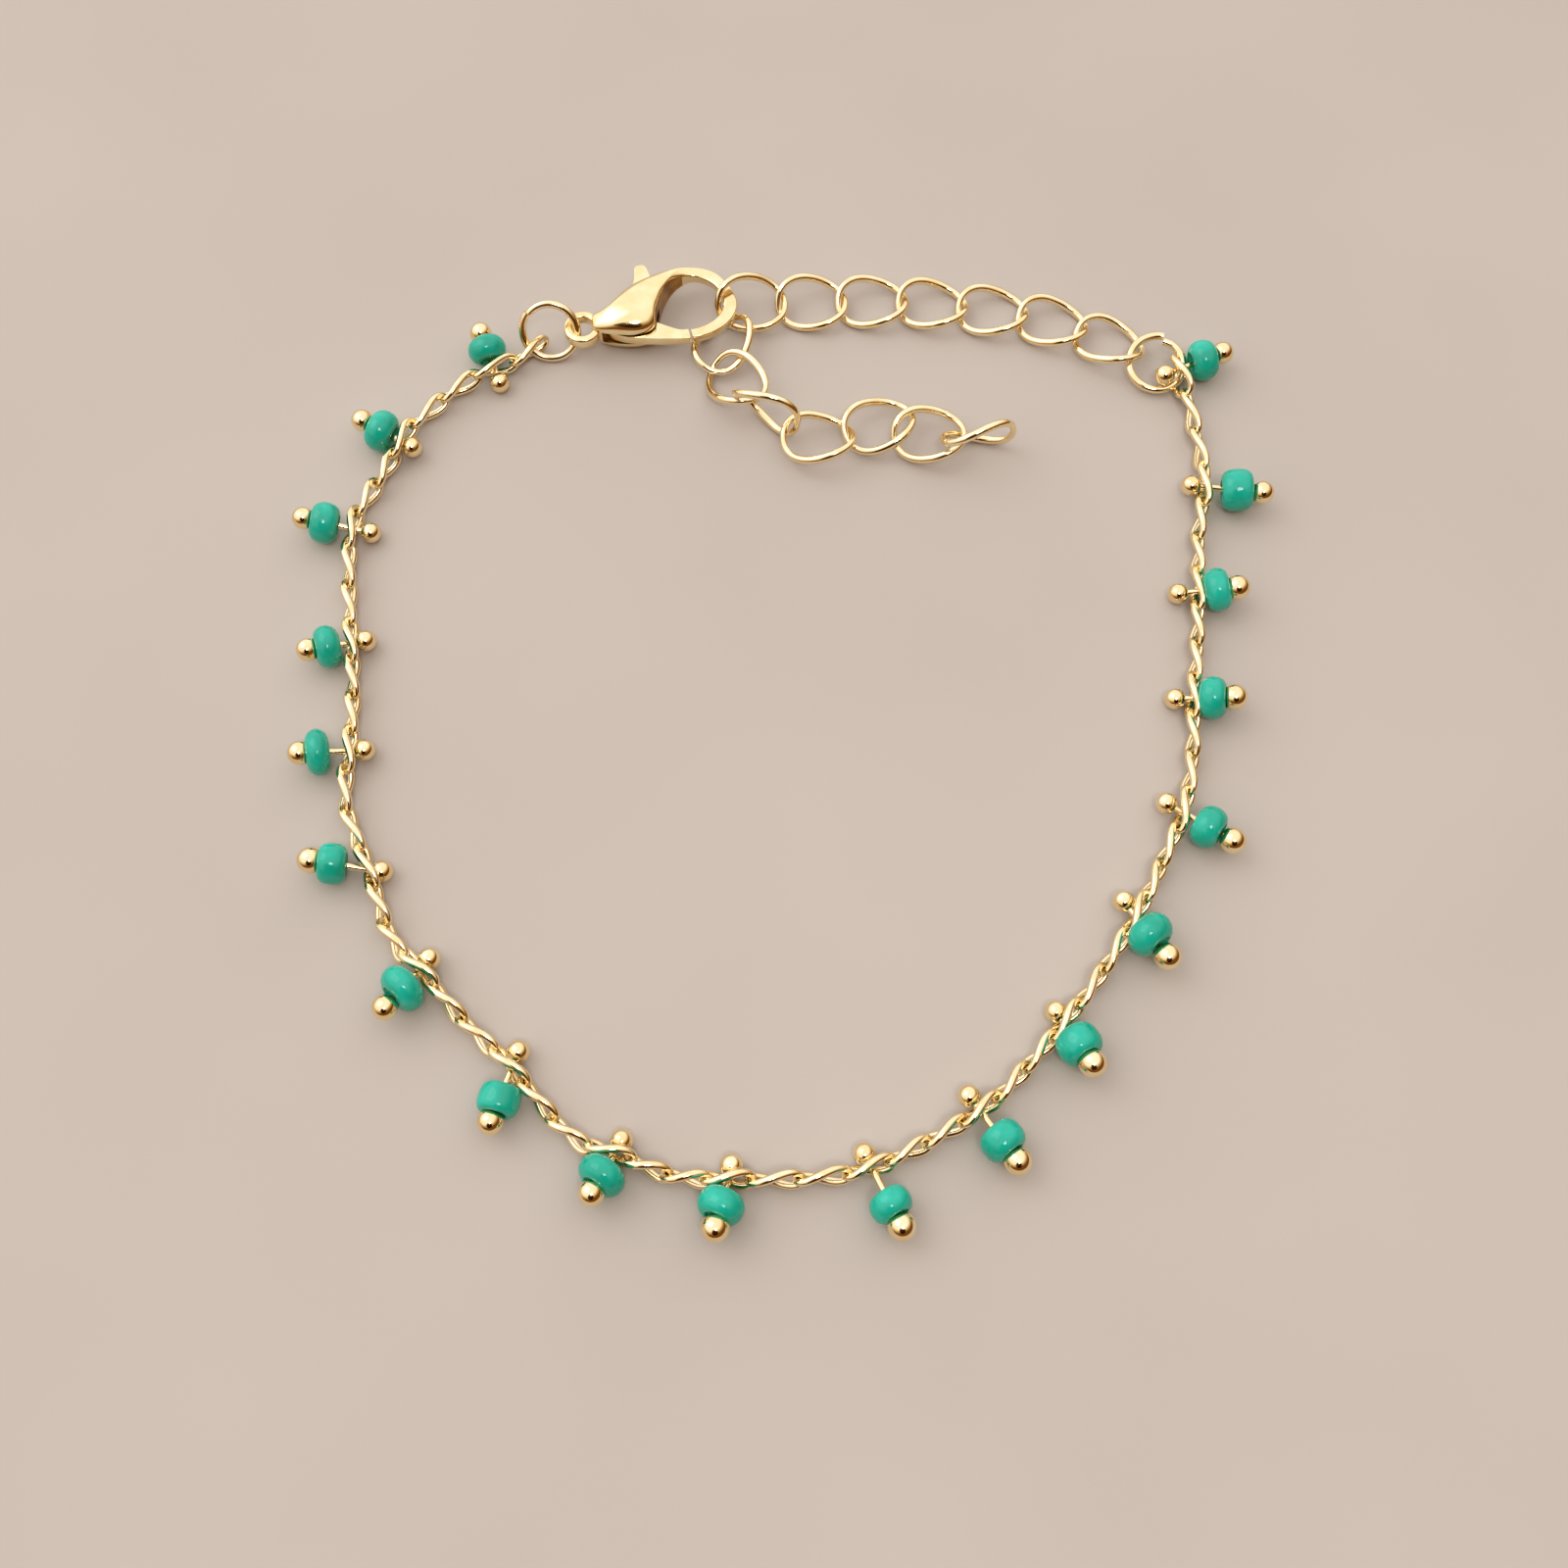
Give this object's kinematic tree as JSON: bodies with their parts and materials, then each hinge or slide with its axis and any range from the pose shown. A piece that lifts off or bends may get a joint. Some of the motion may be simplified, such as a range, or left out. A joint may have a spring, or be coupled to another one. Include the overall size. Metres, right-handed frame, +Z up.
{
  "type": "beaded chain bracelet",
  "caption": "Fine gold-plated curb-chain bracelet with ball-ended pins carrying opaque green glass beads, a lobster clasp and an extender chain, lying in a loop.",
  "frame": {"origin": "on the resting surface, under the middle of the bounding box", "axes": "+Z up from the surface, +Y from the low end of the loop towards the clasp and extender, +X towards the extender's jump ring"},
  "size_m": [0.0636, 0.0652, 0.004],
  "materials": {
    "gold_plate": "polished gold plating",
    "green_glass": "opaque glossy turquoise-green glass"
  },
  "bodies": {
    "bracelet": {"curb_chain": "gold_plate", "pin_01": "gold_plate", "pin_02": "gold_plate", "pin_03": "gold_plate", "pin_04": "gold_plate", "pin_05": "gold_plate", "pin_06": "gold_plate", "pin_07": "gold_plate", "pin_08": "gold_plate", "pin_09": "gold_plate", "pin_10": "gold_plate", "pin_11": "gold_plate", "pin_12": "gold_plate", "pin_13": "gold_plate", "pin_14": "gold_plate", "pin_15": "gold_plate", "pin_16": "gold_plate", "pin_17": "gold_plate", "pin_18": "gold_plate", "pin_19": "gold_plate", "link_01": "gold_plate", "link_02": "gold_plate", "link_03": "gold_plate", "link_04": "gold_plate", "link_05": "gold_plate", "link_06": "gold_plate", "link_07": "gold_plate", "link_08": "gold_plate", "link_09": "gold_plate", "link_10": "gold_plate", "link_11": "gold_plate", "link_12": "gold_plate", "link_13": "gold_plate", "link_14": "gold_plate", "jump_ring_left": "gold_plate", "jump_ring_right": "gold_plate", "clasp_body": "gold_plate", "bead_01": "green_glass", "bead_02": "green_glass", "bead_03": "green_glass", "bead_04": "green_glass", "bead_05": "green_glass", "bead_06": "green_glass", "bead_07": "green_glass", "bead_08": "green_glass", "bead_09": "green_glass", "bead_10": "green_glass", "bead_11": "green_glass", "bead_12": "green_glass", "bead_13": "green_glass", "bead_14": "green_glass", "bead_15": "green_glass", "bead_16": "green_glass", "bead_17": "green_glass", "bead_18": "green_glass", "bead_19": "green_glass"},
    "lever": {"clasp_lever": "gold_plate"}
  },
  "joints": [
    {"name": "clasp_gate", "type": "hinge", "parent": "bracelet", "child": "lever", "pos_m": [-0.01095, 0.0276, 0.0016], "axis": [0, 0, 1], "range_deg": [0, 24], "stiffness_Nm_per_rad": 0.004, "springref_deg": -11.46}
  ]
}
